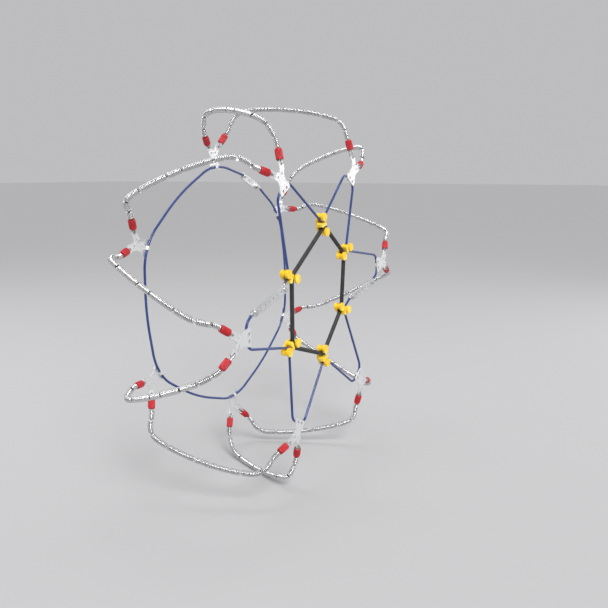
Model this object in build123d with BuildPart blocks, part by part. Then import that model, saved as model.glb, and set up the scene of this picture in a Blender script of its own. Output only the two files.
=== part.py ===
from build123d import *

import math
import os

# A cable tire chain in the shape that it takes on a tyre.
# The wheel's axis is Y, the outer side faces -Y, +Z is up, and the origin is the wheel's centre.
# Lengths are in millimetres and angles in degrees, counted from +X towards +Z.

# ---- driving dimensions ----------------------------------------------------------------------

OUTER = -1  # the side of the wheel that faces -Y
INNER = 1

CORD_Y = 132.0  # how far the side cables and the tensioner lie from the wheel's middle plane
PLATE_Y = 136.1  # middle plane of the Y-plates
LINK_Y = 137.6  # middle plane of the adjusters and of the inner link

PLATE_THICKNESS = 2.5
FOOT_HALF_WIDTH = 18.0
WAIST_HALF_WIDTH = 12.8
WAIST_U = 20.5
ARM_ROOT_U = 28.8
ARM_ANGLE = 38.7  # each arm's turn away from the plate's axis
ARM_WIDTH = 17.0  # across the holes
ARM_NECK_WIDTH = 15.4  # between the holes
ARM_FLAT_LENGTH = 20.8
ARM_TAB_LENGTH = 15.0
ARM_LEAN = 15.0  # the tab's bend towards the tyre
INNER_HOLE_L = 11.5
OUTER_HOLE_L = 7.3  # from the bend line, on the tab
ARM_HOLE_R = 2.7
FOOT_HOLE_U = 6.0
FOOT_HOLE_V = 7.0
FOOT_HOLE_R = 2.9

BLUE_R = 2.6  # blue side cable
CABLE_R = 2.0  # cross cable
RUBBER_R = 4.5  # tensioner ring

CURL_BORE_R = 2.8
CURL_OUTER_R = 4.7
CURL_WIDTH = 8.0

EYE_R = 3.7  # half the distance between the two strands of a cable eye
SLEEVE_LENGTH = 22.0
SLEEVE_R = 7.4
SLEEVE_END_R = 6.8
SLEEVE_NOSE = 3.5
FERRULE_INSET = 1.2  # from the sleeve's end next to the plate
FERRULE_LENGTH = 15.0
FERRULE_R = 5.6
COIL_CLEARANCE = 1.0  # from the sleeve to the first coil
FIRST_BEND = 36.0  # distance past the arm's tip
BEND_CLEARANCE = 6.0  # least distance from a sleeve to the first bend
# How far the sleeves stand off the tips of an outer plate's two arms, falling side first.
SLEEVE_STAND_OFFS = [(0.8, 1.2), (2.0, 11.0), (2.5, 4.5), (1.5, 3.0), (2.5, 1.5), (1.0, 7.0)]
INNER_STAND_OFF = 2.0

COIL_OUTER_R = 5.9
COIL_INNER_R = 2.7
COIL_GAP = 1.8
COIL_SHARES = (0.14, 0.19, 0.27, 0.40)  # of each side's coiled length, from the sleeve inwards
ROLLER_LENGTH = 31.0
ROLLER_GAP = 0.8
ROLLER_BORE_R = 2.3

# Outer plates: distance of the foot from the axis, the foot's angle, and the plate's own turn.
OUTER_PLATES = [
    (272.1, 124.2, -0.8),
    (266.2, 65.1, -9.7),
    (262.0, 8.5, 1.2),
    (267.0, -52.3, 0.0),
    (266.0, -112.0, -4.0),
    (276.1, -172.9, -2.3),
]
# Inner plates sit about midway between the outer ones.
INNER_PLATES = [
    (268.0, 156.0, 0.0),
    (268.0, 95.0, 0.0),
    (268.0, 35.0, 0.0),
    (268.0, -24.0, 0.0),
    (268.0, -84.0, 0.0),
    (268.0, -146.0, 0.0),
]
# Each cross member: outer plate, the arm's side there, inner plate, the arm's side there.
# A side of 1 is the arm towards growing angles.
CROSS_MEMBERS = [
    (0, 1, 0, -1),
    (0, -1, 1, 1),
    (1, 1, 1, -1),
    (1, -1, 2, 1),
    (2, 1, 2, -1),
    (2, -1, 3, 1),
    (3, 1, 3, -1),
    (3, -1, 4, 1),
    (4, 1, 4, -1),
    (4, -1, 5, 1),
    (5, 1, 5, -1),
    (5, -1, 0, 1),
]
# The line that a cross member follows over the tyre, as distance from the axis and from the
# middle plane. It runs the same way on both sides.
SHOULDER = [(383.0, 113.0), (397.0, 97.0), (403.0, 64.0), (406.3, 24.0)]
SHOULDER_SPAN = 125.0

# Tensioner hooks: the cable post's distance and angle, and the hook's own turn.
HOOKS = [
    (170.0, 92.7, 18.0, 1),
    (148.0, 40.4, -10.0, 1),
    (116.0, -23.2, 4.0, -1),
    (149.0, -86.1, 13.0, -1),
    (171.0, -147.5, -10.0, -1),
    (161.0, 155.8, 2.0, 1),
]
POST_SPACING = 34.0
POST_R = 5.5
CABLE_HEAD_R = 9.0
RUBBER_HEAD_R = 9.5
HOOK_BLOCK_OFFSET = 8.0
CABLE_SLOT = 3.1  # half the height of the slot for the cable
RUBBER_SLOT = 5.0
HOOK_BACK = 9.0
HOOK_FRONT = 9.2

# Adjusters: the pivot stud's distance and angle, and the end stud's.
ADJUSTERS = {
    "left": ((259.0, 178.0), (164.0, 166.5)),
    "right": ((233.0, 0.3), (133.0, -8.2)),
}
LINK_WIDTH = 17.0
LINK_END = 7.5  # metal past the end holes
LINK_HOLES = 6
STUD_R = 2.6
STUD_HOLE_R = 2.66
STUD_HEAD_R = 4.6
STUD_HEAD_THICKNESS = 2.2
STUD_BARREL_R = 4.0
STUD_BARREL_LENGTH = 13.0
INNER_LINK = ((268.0, 71.0), (268.0, 59.0))

HOOP_MIDSPAN = 263.0  # the inner side cable's distance from the axis between two plates
HOOP_SHOULDER_V = 26.0  # where the inner side cable bends beside a plate's foot
FOOT_BEND_V = 24.0  # where the outer side cables bend beside a plate's foot
FOOT_BEND_R = 20.0
CORD_TO_POST = 0.3  # room between a cord and the post it goes round

os.makedirs("parts", exist_ok=True)


# ---- geometry helpers ------------------------------------------------------------------------


def at(rho, degrees, y):
    """A point from its distance and angle about the wheel's axis, and its place along it."""
    turn = math.radians(degrees)
    return Vector(rho * math.cos(turn), y, rho * math.sin(turn))


def heading(degrees):
    """A unit vector in the wheel's plane."""
    return at(1.0, degrees, 0.0)


def write(part, name):
    part.label = name
    export_step(part, f"parts/{name}.step")


def foot_point(spec, side, u, v, y):
    """A point on a Y-plate: u outwards from the foot's edge, v towards growing angles."""
    rho, degrees, turn = spec
    axis = heading(degrees + turn)
    across = heading(degrees + turn + 90.0)
    start = at(rho, degrees, side * y)
    return start + axis * u + across * v


def arm_frame(spec, side, hand):
    """The bend line's middle, the bent arm's direction and the bent tab's outward normal."""
    turn = spec[1] + spec[2]
    along = heading(turn + hand * ARM_ANGLE)
    outward = Vector(0.0, side, 0.0)
    root = foot_point(spec, side, ARM_ROOT_U, 0.0, PLATE_Y)
    bend = root + along * ARM_FLAT_LENGTH
    lean = math.radians(ARM_LEAN)
    axis = along * math.cos(lean) - outward * math.sin(lean)
    normal = outward * math.cos(lean) + along * math.sin(lean)
    return bend, axis, normal


def past_tip(spec, side, hand, distance):
    """A point on the line of an arm's bent tab, counted from the arm's tip."""
    bend, axis, _ = arm_frame(spec, side, hand)
    return bend + axis * (ARM_TAB_LENGTH + distance)


def tube_along(points, radii, radius):
    """A round cord along straight runs joined by tangent arcs."""
    with BuildPart() as cord:
        with BuildLine() as route:
            FilletPolyline(*points, radius=radii)
        start = Plane(origin=route.wire() @ 0, z_dir=route.wire() % 0)
        with BuildSketch(start):
            Circle(radius)
        sweep()
    return cord.part


def turn_angle(before, corner, after):
    return (corner - before).get_angle(after - corner)


def free_radius(before, corner, after):
    """The largest easy arc at a corner of a route."""
    shorter = min((corner - before).length, (after - corner).length)
    half = math.radians(turn_angle(before, corner, after) / 2.0)
    return 0.45 * shorter / math.tan(half)


def free_radii(points):
    spans = zip(points, points[1:], points[2:])
    return [free_radius(*corner) for corner in spans]


# ---- Y-plates --------------------------------------------------------------------------------


def y_plate(spec, side):
    """A flat plate with a flared foot and two arms whose tips bend towards the tyre."""
    turn = spec[1] + spec[2]
    axis = heading(turn)
    outward = Vector(0.0, side, 0.0)
    flat = Plane(origin=at(spec[0], spec[1], side * PLATE_Y), x_dir=axis, z_dir=outward)
    half = PLATE_THICKNESS / 2.0
    foot_plane = Plane(
        origin=flat.from_local_coords((FOOT_HOLE_U, 0.0, 0.0)), x_dir=axis, z_dir=flat.y_dir
    )
    curl_depth = half + CURL_BORE_R + 0.05
    disc_l = ARM_TAB_LENGTH - ARM_WIDTH / 2.0
    shoulder_u = 11.5
    with BuildPart() as plate:
        with BuildSketch(flat):
            with BuildLine():
                foot = Polyline(
                    (shoulder_u, -FOOT_HALF_WIDTH + 1.0),
                    (5.0, -FOOT_HALF_WIDTH),
                    (0.0, -FOOT_HALF_WIDTH + 1.5),
                    (0.0, FOOT_HALF_WIDTH - 1.5),
                    (5.0, FOOT_HALF_WIDTH),
                    (shoulder_u, FOOT_HALF_WIDTH - 1.0),
                )
                waist_top = ThreePointArc(
                    foot @ 1, (WAIST_U, WAIST_HALF_WIDTH), (ARM_ROOT_U + 2.5, WAIST_HALF_WIDTH)
                )
                waist_bottom = ThreePointArc(
                    foot @ 0, (WAIST_U, -WAIST_HALF_WIDTH), (ARM_ROOT_U + 2.5, -WAIST_HALF_WIDTH)
                )
                Polyline(waist_top @ 1, (ARM_ROOT_U + 15.0, 0.0), waist_bottom @ 1)
            make_face()
            for hand in (-1, 1):
                with Locations(Location((ARM_ROOT_U, 0.0, 0.0), (0.0, 0.0, hand * ARM_ANGLE))):
                    Rectangle(ARM_FLAT_LENGTH, ARM_NECK_WIDTH, align=(Align.MIN, Align.CENTER))
                    with Locations((INNER_HOLE_L, 0.0)):
                        Circle(ARM_WIDTH / 2.0)
        extrude(amount=half, both=True)
        for hand in (-1, 1):
            bend, along, normal = arm_frame(spec, side, hand)
            with BuildSketch(Plane(origin=bend, x_dir=along, z_dir=normal)):
                with Locations((disc_l, 0.0)):
                    Circle(ARM_WIDTH / 2.0)
                with Locations((-0.6, 0.0)):
                    Rectangle(9.0, 18.0, align=(Align.MAX, Align.CENTER), mode=Mode.SUBTRACT)
                with Locations((disc_l / 2.0 - 0.3, 0.0)):
                    RectangleRounded(disc_l + 0.6, ARM_NECK_WIDTH, 0.25)
                with Locations((OUTER_HOLE_L, 0.0)):
                    Circle(ARM_HOLE_R, mode=Mode.SUBTRACT)
            extrude(amount=half, both=True)
        with BuildSketch(foot_plane):
            with Locations((0.0, curl_depth)):
                Circle(CURL_OUTER_R)
                Circle(CURL_BORE_R, mode=Mode.SUBTRACT)
        extrude(amount=CURL_WIDTH / 2.0, both=True)
        with BuildSketch(flat):
            with Locations((FOOT_HOLE_U, -FOOT_HOLE_V), (FOOT_HOLE_U, FOOT_HOLE_V)):
                Circle(FOOT_HOLE_R)
            for hand in (-1, 1):
                with Locations(Location((ARM_ROOT_U, 0.0, 0.0), (0.0, 0.0, hand * ARM_ANGLE))):
                    with Locations((INNER_HOLE_L, 0.0)):
                        Circle(ARM_HOLE_R)
        extrude(amount=PLATE_THICKNESS, both=True, mode=Mode.SUBTRACT)
    return plate.part


# ---- cross members ---------------------------------------------------------------------------


def stand_off(index, side, hand):
    """How far a sleeve stands off its arm's tip."""
    if side == INNER:
        return INNER_STAND_OFF
    return SLEEVE_STAND_OFFS[index][0 if hand < 0 else 1]


def route_over_tyre(member):
    """The points that a cross member's cable follows, from one ferrule to the other."""
    outer_plate, outer_hand, inner_plate, inner_hand = member
    ends = (
        (OUTER_PLATES[outer_plate], OUTER, outer_hand),
        (INNER_PLATES[inner_plate], INNER, inner_hand),
    )
    offs = (stand_off(outer_plate, OUTER, outer_hand), INNER_STAND_OFF)
    ferrule_end = FERRULE_INSET + FERRULE_LENGTH
    first = [past_tip(*end, off + ferrule_end) for end, off in zip(ends, offs)]
    reaches = [max(FIRST_BEND, off + SLEEVE_LENGTH + BEND_CLEARANCE) for off in offs]
    bends = [past_tip(*end, reach) for end, reach in zip(ends, reaches)]
    turns = [math.degrees(math.atan2(p.Z, p.X)) for p in bends]
    sweep_turn = (turns[1] - turns[0] + 180.0) % 360.0 - 180.0
    across = [(rho, -y) for rho, y in SHOULDER] + [(rho, y) for rho, y in reversed(SHOULDER)]
    middle = []
    for rho, y in across:
        share = (y + SHOULDER_SPAN) / (2.0 * SHOULDER_SPAN)
        middle.append(at(rho, turns[0] + share * sweep_turn, y))
    return [first[0], bends[0], *middle, bends[1], first[1]]


def disc_cutter(origin, direction, radius, length):
    """A round slug about a point of a route, used to part a tube."""
    with BuildPart() as slug:
        with BuildSketch(Plane(origin=origin, z_dir=direction)):
            Circle(radius)
        extrude(amount=length / 2.0, both=True)
    return slug.part


def coil_tube(member):
    """The traction coils of one cross member, as plain tubes parted by narrow gaps."""
    points = route_over_tyre(member)
    centre = (points[5] + points[6]) / 2.0
    straight = (points[6] - points[5]).normalized()
    with BuildLine() as path:
        FilletPolyline(*points, radius=free_radii(points))
    route = path.wire()
    length = route.length
    bare = SLEEVE_LENGTH + COIL_CLEARANCE - FERRULE_INSET - FERRULE_LENGTH
    coiled = length / 2.0 - bare - ROLLER_LENGTH / 2.0
    cut_radius = COIL_OUTER_R + 2.0
    cutters = [disc_cutter(centre, straight, cut_radius, ROLLER_LENGTH + 2.0 * ROLLER_GAP)]
    for end in (0.0, 1.0):
        cutters.append(disc_cutter(route @ end, route % end, cut_radius, 2.0 * bare))
        for number in range(1, len(COIL_SHARES)):
            share = (bare + sum(COIL_SHARES[:number]) * coiled) / length
            place = share if end == 0.0 else 1.0 - share
            cutters.append(disc_cutter(route @ place, route % place, cut_radius, COIL_GAP))
    with BuildPart() as coils:
        with BuildSketch(Plane(origin=route @ 0, z_dir=route % 0)):
            Circle(COIL_OUTER_R)
            Circle(COIL_INNER_R, mode=Mode.SUBTRACT)
        sweep(path=route)
        for cutter in cutters:
            add(cutter, mode=Mode.SUBTRACT)
    return coils.part, centre, straight


def roller(centre, direction):
    """The straight coil over the middle of the tread, free to turn on its cable."""
    with BuildPart() as coil:
        with BuildSketch(Plane(origin=centre, z_dir=direction)):
            Circle(COIL_OUTER_R)
            Circle(ROLLER_BORE_R, mode=Mode.SUBTRACT)
        extrude(amount=ROLLER_LENGTH / 2.0, both=True)
    return coil.part


def arm_plane(spec, side, hand, distance):
    """A plane across an arm's line, at a distance past its tip."""
    _, axis, normal = arm_frame(spec, side, hand)
    return Plane(origin=past_tip(spec, side, hand, distance), x_dir=normal, z_dir=axis)


def ferrule(spec, side, hand, off):
    with BuildPart() as crimp:
        with BuildSketch(arm_plane(spec, side, hand, off + FERRULE_INSET)):
            Circle(FERRULE_R)
        extrude(amount=FERRULE_LENGTH)
    return crimp.part


def sleeve(spec, side, hand, off):
    """A hollow plastic sleeve, open towards the plate, round a ferrule."""
    _, axis, normal = arm_frame(spec, side, hand)
    start = past_tip(spec, side, hand, off)
    profile_plane = Plane(origin=start, x_dir=axis, z_dir=axis.cross(normal))
    cavity_r = FERRULE_R + 0.25
    cavity_end = FERRULE_INSET + FERRULE_LENGTH + 0.4
    with BuildPart() as cover:
        with BuildSketch(profile_plane):
            with BuildLine():
                Polyline(
                    (0.0, cavity_r),
                    (0.0, SLEEVE_END_R),
                    (SLEEVE_NOSE, SLEEVE_R),
                    (SLEEVE_LENGTH - SLEEVE_NOSE, SLEEVE_R),
                    (SLEEVE_LENGTH, SLEEVE_END_R),
                    (SLEEVE_LENGTH, CABLE_R + 0.3),
                    (cavity_end, CABLE_R + 0.3),
                    (cavity_end, cavity_r),
                    close=True,
                )
            make_face()
        revolve(axis=Axis(start, axis))
    return cover.part


def cable_eye(spec, side, hand, off):
    """The loop of cable that passes through an arm's hole and ends in the ferrule."""
    bend, axis, normal = arm_frame(spec, side, hand)
    reach = ARM_TAB_LENGTH + off + FERRULE_INSET
    plane = Plane(origin=bend, x_dir=axis, z_dir=axis.cross(normal))
    with BuildPart() as eye:
        with BuildLine(plane) as loop:
            out = Line((reach, EYE_R), (OUTER_HOLE_L + EYE_R, EYE_R))
            RadiusArc(out @ 1, (OUTER_HOLE_L + EYE_R, -EYE_R), -EYE_R)
            Line((OUTER_HOLE_L + EYE_R, -EYE_R), (reach, -EYE_R))
        with BuildSketch(Plane(origin=loop.wire() @ 0, z_dir=loop.wire() % 0)):
            Circle(CABLE_R)
        sweep()
    return eye.part


# ---- tensioner hooks and ring ----------------------------------------------------------------


def hook_plane(spec, height=0.0):
    """A hook's own plane at its cable post: x outwards, z towards the outside of the wheel."""
    rho, degrees, turn, _ = spec
    origin = at(rho, degrees, -CORD_Y - height)
    return Plane(origin=origin, x_dir=heading(degrees + turn), z_dir=(0.0, -1.0, 0.0))


def cable_post(spec):
    return at(spec[0], spec[1], -CORD_Y)


def rubber_post(spec):
    return cable_post(spec) - heading(spec[1] + spec[2]) * POST_SPACING


def tensioner_hook(spec):
    """A moulded hook: a back, a post for the cable, a post for the rubber and a block between."""
    side = spec[3]
    middle = (-POST_SPACING / 2.0 - 1.0, side * HOOK_BLOCK_OFFSET)
    rubber = (-POST_SPACING, 0.0)
    slug = RUBBER_SLOT + HOOK_FRONT
    with BuildPart() as hook:
        with BuildSketch(hook_plane(spec, -HOOK_BACK)):
            with BuildSketch(mode=Mode.ADD):
                Circle(CABLE_HEAD_R - 1.0)
                with Locations(middle):
                    Circle(6.5)
                make_hull()
            with BuildSketch(mode=Mode.ADD):
                with Locations(rubber):
                    Circle(RUBBER_HEAD_R - 1.0)
                with Locations(middle):
                    Circle(6.5)
                make_hull()
        extrude(amount=HOOK_BACK - RUBBER_SLOT)
        with BuildSketch(hook_plane(spec, -RUBBER_SLOT)):
            Circle(CABLE_HEAD_R - 1.0)
        extrude(amount=RUBBER_SLOT - CABLE_SLOT)
        with BuildSketch(hook_plane(spec, -RUBBER_SLOT)):
            Circle(POST_R)
            with Locations(rubber):
                Circle(POST_R)
        extrude(amount=slug)
        with BuildSketch(hook_plane(spec, CABLE_SLOT)):
            Circle(CABLE_HEAD_R)
        extrude(amount=HOOK_FRONT - CABLE_SLOT)
        with BuildSketch(hook_plane(spec, RUBBER_SLOT)):
            with Locations(rubber):
                Circle(RUBBER_HEAD_R)
        extrude(amount=HOOK_FRONT - RUBBER_SLOT)
        with BuildSketch(hook_plane(spec, -RUBBER_SLOT)):
            with BuildLine():
                Polyline(
                    (-11.9, side * -4.0),
                    (-11.9, side * 3.0),
                    (-9.0, side * 12.0),
                    (-10.5, side * 14.5),
                    (-17.0, side * 14.5),
                    (-18.6, side * 12.0),
                    (-18.6, side * -4.0),
                    close=True,
                )
            make_face()
        extrude(amount=RUBBER_SLOT + HOOK_FRONT - 1.5)
    return hook.part


def tensioner_ring():
    """A closed rubber cord pulled into a hexagon round the hooks' rubber posts."""
    reach = POST_R + RUBBER_R + CORD_TO_POST
    posts = [rubber_post(spec) for spec in HOOKS]
    plane = Plane(origin=(0.0, -CORD_Y, 0.0), x_dir=(1.0, 0.0, 0.0), z_dir=(0.0, -1.0, 0.0))
    corners = [(p.X, p.Z) for p in posts]
    with BuildSketch(mode=Mode.PRIVATE) as outline:
        with BuildLine():
            Polyline(*corners, close=True)
        make_face()
        offset(amount=reach, kind=Kind.ARC)
    route = plane.from_local_coords(outline.face()).outer_wire()
    with BuildPart() as ring:
        with BuildSketch(Plane(origin=route @ 0, z_dir=route % 0)):
            Circle(RUBBER_R)
        sweep(path=route)
    return ring.part


# ---- side cables -----------------------------------------------------------------------------


def tangent_heading(start, post, reach, hand):
    """The heading of the line from start that touches a circle about post.
    hand is 1 when the circle lies to the left of that line."""
    gap = post - start
    straight = math.degrees(math.atan2(gap.Z, gap.X))
    return straight - hand * math.degrees(math.asin(reach / gap.length))


def crossing(start, first, end, second):
    """Where the line from start with one heading meets the line from end with another."""
    a = heading(first)
    b = heading(second)
    gap = end - start
    turn = a.X * b.Z - a.Z * b.X
    along = (gap.X * b.Z - gap.Z * b.X) / turn
    return start + a * along


def round_post(before, spec, after):
    """The corner of a cable that passes between a hook's cable post and the wheel's centre."""
    reach = POST_R + BLUE_R + CORD_TO_POST
    post = cable_post(spec)
    arriving = tangent_heading(before, post, reach, 1)
    leaving = tangent_heading(after, post, reach, -1)
    return crossing(before, arriving, after, leaving)


def foot_corner(index, hand):
    return foot_point(OUTER_PLATES[index], OUTER, FOOT_HOLE_U, hand * FOOT_BEND_V, CORD_Y)


def stud_point(name, which):
    rho, degrees = ADJUSTERS[name][which]
    return at(rho, degrees, -CORD_Y)


def side_cable_route(first_stud, plates, hooks, last_stud):
    """Corners and arc radii of a side cable. It meets a hook before each plate, and one more
    hook after a plate that another plate follows; studs hold its two ends."""
    corners = []
    radii = []
    before = first_stud
    for number, (plate, hook) in enumerate(zip(plates, hooks)):
        near = foot_corner(plate, 1)
        far = foot_corner(plate, -1)
        corners.append(round_post(before, HOOKS[hook], near))
        radii.append(POST_R + BLUE_R + CORD_TO_POST)
        corners += [near, far]
        radii += [FOOT_BEND_R, FOOT_BEND_R]
        before = far
    ends = [first_stud, last_stud]
    headings = [(corners[0] - first_stud).normalized(), (corners[-1] - last_stud).normalized()]
    barrel = STUD_BARREL_LENGTH - 3.0
    starts = [stud + way * barrel for stud, way in zip(ends, headings)]
    return [starts[0], *corners, starts[1]], radii, headings


def stud(point, along, side):
    """A cable end: a barrel on the cable and a headed pin through the link's hole."""
    outward = Vector(0.0, side, 0.0)
    link_face = LINK_Y + PLATE_THICKNESS / 2.0 + 0.15
    with BuildPart() as end:
        with BuildSketch(Plane(origin=point - along * 3.0, z_dir=along)):
            Circle(STUD_BARREL_R)
        extrude(amount=STUD_BARREL_LENGTH)
        with BuildSketch(Plane(origin=point, z_dir=outward)):
            Circle(STUD_R)
        extrude(amount=link_face - CORD_Y + 1.0)
        with BuildSketch(Plane(origin=point + outward * (link_face - CORD_Y), z_dir=outward)):
            Circle(STUD_HEAD_R)
        extrude(amount=STUD_HEAD_THICKNESS)
    return end.part


def link_plate(first, last, side, holes):
    """A straight link with round ends, a stud hole at each end and a row of holes between."""
    outward = Vector(0.0, side, 0.0)
    raised = (LINK_Y - CORD_Y) * side
    axis = (last - first).normalized()
    span = (last - first).length
    origin = first + Vector(0.0, raised, 0.0)
    pitch = span / (holes + 1)
    with BuildPart() as link:
        with BuildSketch(Plane(origin=origin, x_dir=axis, z_dir=outward)):
            with Locations((span / 2.0, 0.0)):
                RectangleRounded(span + 2.0 * LINK_END, LINK_WIDTH, LINK_END - 0.5)
            with Locations((0.0, 0.0), (span, 0.0)):
                Circle(STUD_HOLE_R, mode=Mode.SUBTRACT)
            for number in range(holes):
                with Locations(((number + 1) * pitch, 0.0)):
                    Circle(3.3, mode=Mode.SUBTRACT)
        extrude(amount=PLATE_THICKNESS / 2.0, both=True)
    return link.part


def group(parts):
    """Like pieces kept apart in one node."""
    return Compound(children=[piece for part in parts for piece in part.solids()])


# ---- the whole chain -------------------------------------------------------------------------

for number, spec in enumerate(OUTER_PLATES, 1):
    write(y_plate(spec, OUTER), f"outer_plate_{number}")
for number, spec in enumerate(INNER_PLATES, 1):
    write(y_plate(spec, INNER), f"inner_plate_{number}")

for number, member in enumerate(CROSS_MEMBERS, 1):
    coils, centre, straight = coil_tube(member)
    write(coils, f"traction_coils_{number}")
    write(roller(centre, straight), f"roller_coil_{number}")

cables = []
for member in CROSS_MEMBERS:
    points = route_over_tyre(member)
    cables.append(tube_along(points, free_radii(points), CABLE_R))
write(group(cables), "cross_cables")

outer_arms = []
inner_arms = []
for index in range(len(OUTER_PLATES)):
    for hand in (-1, 1):
        outer_arms.append((OUTER_PLATES[index], OUTER, hand, stand_off(index, OUTER, hand)))
        inner_arms.append((INNER_PLATES[index], INNER, hand, stand_off(index, INNER, hand)))
write(group([sleeve(*arm) for arm in outer_arms]), "outer_sleeves")
write(group([sleeve(*arm) for arm in inner_arms]), "inner_sleeves")
write(group([ferrule(*arm) for arm in outer_arms + inner_arms]), "crimp_ferrules")
write(group([cable_eye(*arm) for arm in outer_arms + inner_arms]), "cable_eyes")

for number, spec in enumerate(HOOKS, 1):
    write(tensioner_hook(spec), f"tensioner_hook_{number}")
write(tensioner_ring(), "tensioner_ring")

left = [stud_point("left", which) for which in (0, 1)]
right = [stud_point("right", which) for which in (0, 1)]
upper_route = side_cable_route(left[1], (0, 1, 2), (5, 0, 1), right[0])
lower_route = side_cable_route(right[1], (3, 4, 5), (2, 3, 4), left[0])
for name, (points, radii, _) in (("upper", upper_route), ("lower", lower_route)):
    write(tube_along(points, radii, BLUE_R), f"outer_side_cable_{name}")
write(link_plate(left[0], left[1], OUTER, LINK_HOLES), "adjuster_left")
write(link_plate(right[0], right[1], OUTER, LINK_HOLES), "adjuster_right")
write(stud(left[1], upper_route[2][0], OUTER), "end_stud_left")
write(stud(right[1], lower_route[2][0], OUTER), "end_stud_right")
pivots = [stud(left[0], lower_route[2][1], OUTER), stud(right[0], upper_route[2][1], OUTER)]

# The inner side cable is a loose hoop that opens at one link.
hoop = []
studs = [at(rho, degrees, CORD_Y) for rho, degrees in INNER_LINK]
order = [1, 0, 5, 4, 3, 2]
for place, index in enumerate(order):
    spec = INNER_PLATES[index]
    for hand in (-1, 1):
        hoop.append(foot_point(spec, INNER, FOOT_HOLE_U, hand * HOOP_SHOULDER_V, CORD_Y))
    if place < len(order) - 1:
        following = INNER_PLATES[order[place + 1]]
        half_turn = ((following[1] - spec[1]) % 360.0) / 2.0
        hoop.append(at(HOOP_MIDSPAN, spec[1] + half_turn, CORD_Y))
ways = [(hoop[0] - studs[0]).normalized(), (hoop[-1] - studs[1]).normalized()]
barrel = STUD_BARREL_LENGTH - 3.0
hoop = [studs[0] + ways[0] * barrel, *hoop, studs[1] + ways[1] * barrel]
write(tube_along(hoop, free_radii(hoop), BLUE_R), "inner_side_cable")
write(link_plate(studs[0], studs[1], INNER, 1), "inner_link")
write(stud(studs[1], ways[1], INNER), "inner_end_stud")
write(group([*pivots, stud(studs[0], ways[0], INNER)]), "pivot_studs")
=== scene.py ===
"""The look of a cable snow chain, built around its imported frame."""

import math

import bmesh
import bpy
import numpy as np
from mathutils import Matrix, Vector


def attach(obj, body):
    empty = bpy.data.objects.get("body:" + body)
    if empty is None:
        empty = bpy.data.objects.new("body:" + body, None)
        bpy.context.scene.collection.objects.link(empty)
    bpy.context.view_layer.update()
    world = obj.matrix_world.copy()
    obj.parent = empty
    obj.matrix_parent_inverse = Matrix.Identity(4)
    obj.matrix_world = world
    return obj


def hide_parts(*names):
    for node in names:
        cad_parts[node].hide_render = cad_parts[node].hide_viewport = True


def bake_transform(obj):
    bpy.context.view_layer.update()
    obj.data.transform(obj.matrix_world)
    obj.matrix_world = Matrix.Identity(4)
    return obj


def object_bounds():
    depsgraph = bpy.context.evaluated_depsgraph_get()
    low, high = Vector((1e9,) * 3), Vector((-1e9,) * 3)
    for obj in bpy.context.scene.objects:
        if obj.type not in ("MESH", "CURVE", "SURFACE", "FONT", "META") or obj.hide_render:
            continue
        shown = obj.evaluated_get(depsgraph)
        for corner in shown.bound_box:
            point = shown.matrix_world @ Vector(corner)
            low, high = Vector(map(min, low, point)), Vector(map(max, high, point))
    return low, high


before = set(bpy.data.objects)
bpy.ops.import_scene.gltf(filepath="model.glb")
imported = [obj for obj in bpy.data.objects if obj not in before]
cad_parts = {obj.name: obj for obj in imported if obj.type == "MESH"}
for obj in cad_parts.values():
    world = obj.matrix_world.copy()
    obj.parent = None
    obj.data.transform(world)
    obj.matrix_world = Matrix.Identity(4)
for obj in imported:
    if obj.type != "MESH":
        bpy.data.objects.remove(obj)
cad_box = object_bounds()

# ---- the chain's driving dimensions, in metres and degrees --------------------------------------
# The wheel's axis is Y, the outer side faces -Y, and angles count from +X towards +Z.

OUTER, INNER = -1, 1
CORD_Y = 0.132
PLATE_Y = 0.1361
ARM_ROOT_U = 0.0288
ARM_ANGLE = 38.7
ARM_FLAT_LENGTH = 0.0208
ARM_TAB_LENGTH = 0.015
ARM_LEAN = 15.0
OUTER_HOLE_L = 0.0073
FOOT_HOLE_U = 0.006
BLUE_R = 0.0026
CABLE_R = 0.002
RUBBER_R = 0.0045
EYE_R = 0.0037
FERRULE_INSET = 0.0012  # from the sleeve's end next to the plate
FERRULE_LENGTH = 0.015
SLEEVE_LENGTH = 0.022
COIL_CLEARANCE = 0.001
FIRST_BEND = 0.036
BEND_CLEARANCE = 0.006
# how far the sleeves stand off the tips of an outer plate's two arms, falling side first
SLEEVE_STAND_OFFS = [
    (0.0008, 0.0012),
    (0.0020, 0.0110),
    (0.0025, 0.0045),
    (0.0015, 0.0030),
    (0.0025, 0.0015),
    (0.0010, 0.0070),
]
INNER_STAND_OFF = 0.002
COIL_OUTER_R = 0.0059
COIL_GAP = 0.0018
COIL_SHARES = (0.14, 0.19, 0.27, 0.40)  # of each side's coiled length, from the sleeve inwards
ROLLER_LENGTH = 0.031
ROLLER_GAP = 0.0008
SHOULDER = [(0.383, 0.113), (0.397, 0.097), (0.403, 0.064), (0.4063, 0.024)]
SHOULDER_SPAN = 0.125
POST_SPACING = 0.034
POST_R = 0.0055
CORD_TO_POST = 0.0003
STUD_REACH = 0.010
FOOT_BEND_V, FOOT_BEND_R = 0.024, 0.020
HOOP_SHOULDER_V, HOOP_MIDSPAN = 0.026, 0.263
LOOSE_END_ANGLE = 5.0  # from here on the inner side cable is a separate piece
EASY_SHARE = 0.45  # of the shorter run at a route's corner, which the corner's arc may take

# each plate's radius and angle, and how far it is turned
OUTER_PLATES = [
    (0.2721, 124.2, -0.8),
    (0.2662, 65.1, -9.7),
    (0.2620, 8.5, 1.2),
    (0.267, -52.3, 0.0),
    (0.266, -112.0, -4.0),
    (0.2761, -172.9, -2.3),
]
INNER_PLATES = [(0.268, angle, 0.0) for angle in (156.0, 95.0, 35.0, -24.0, -84.0, -146.0)]
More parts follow.
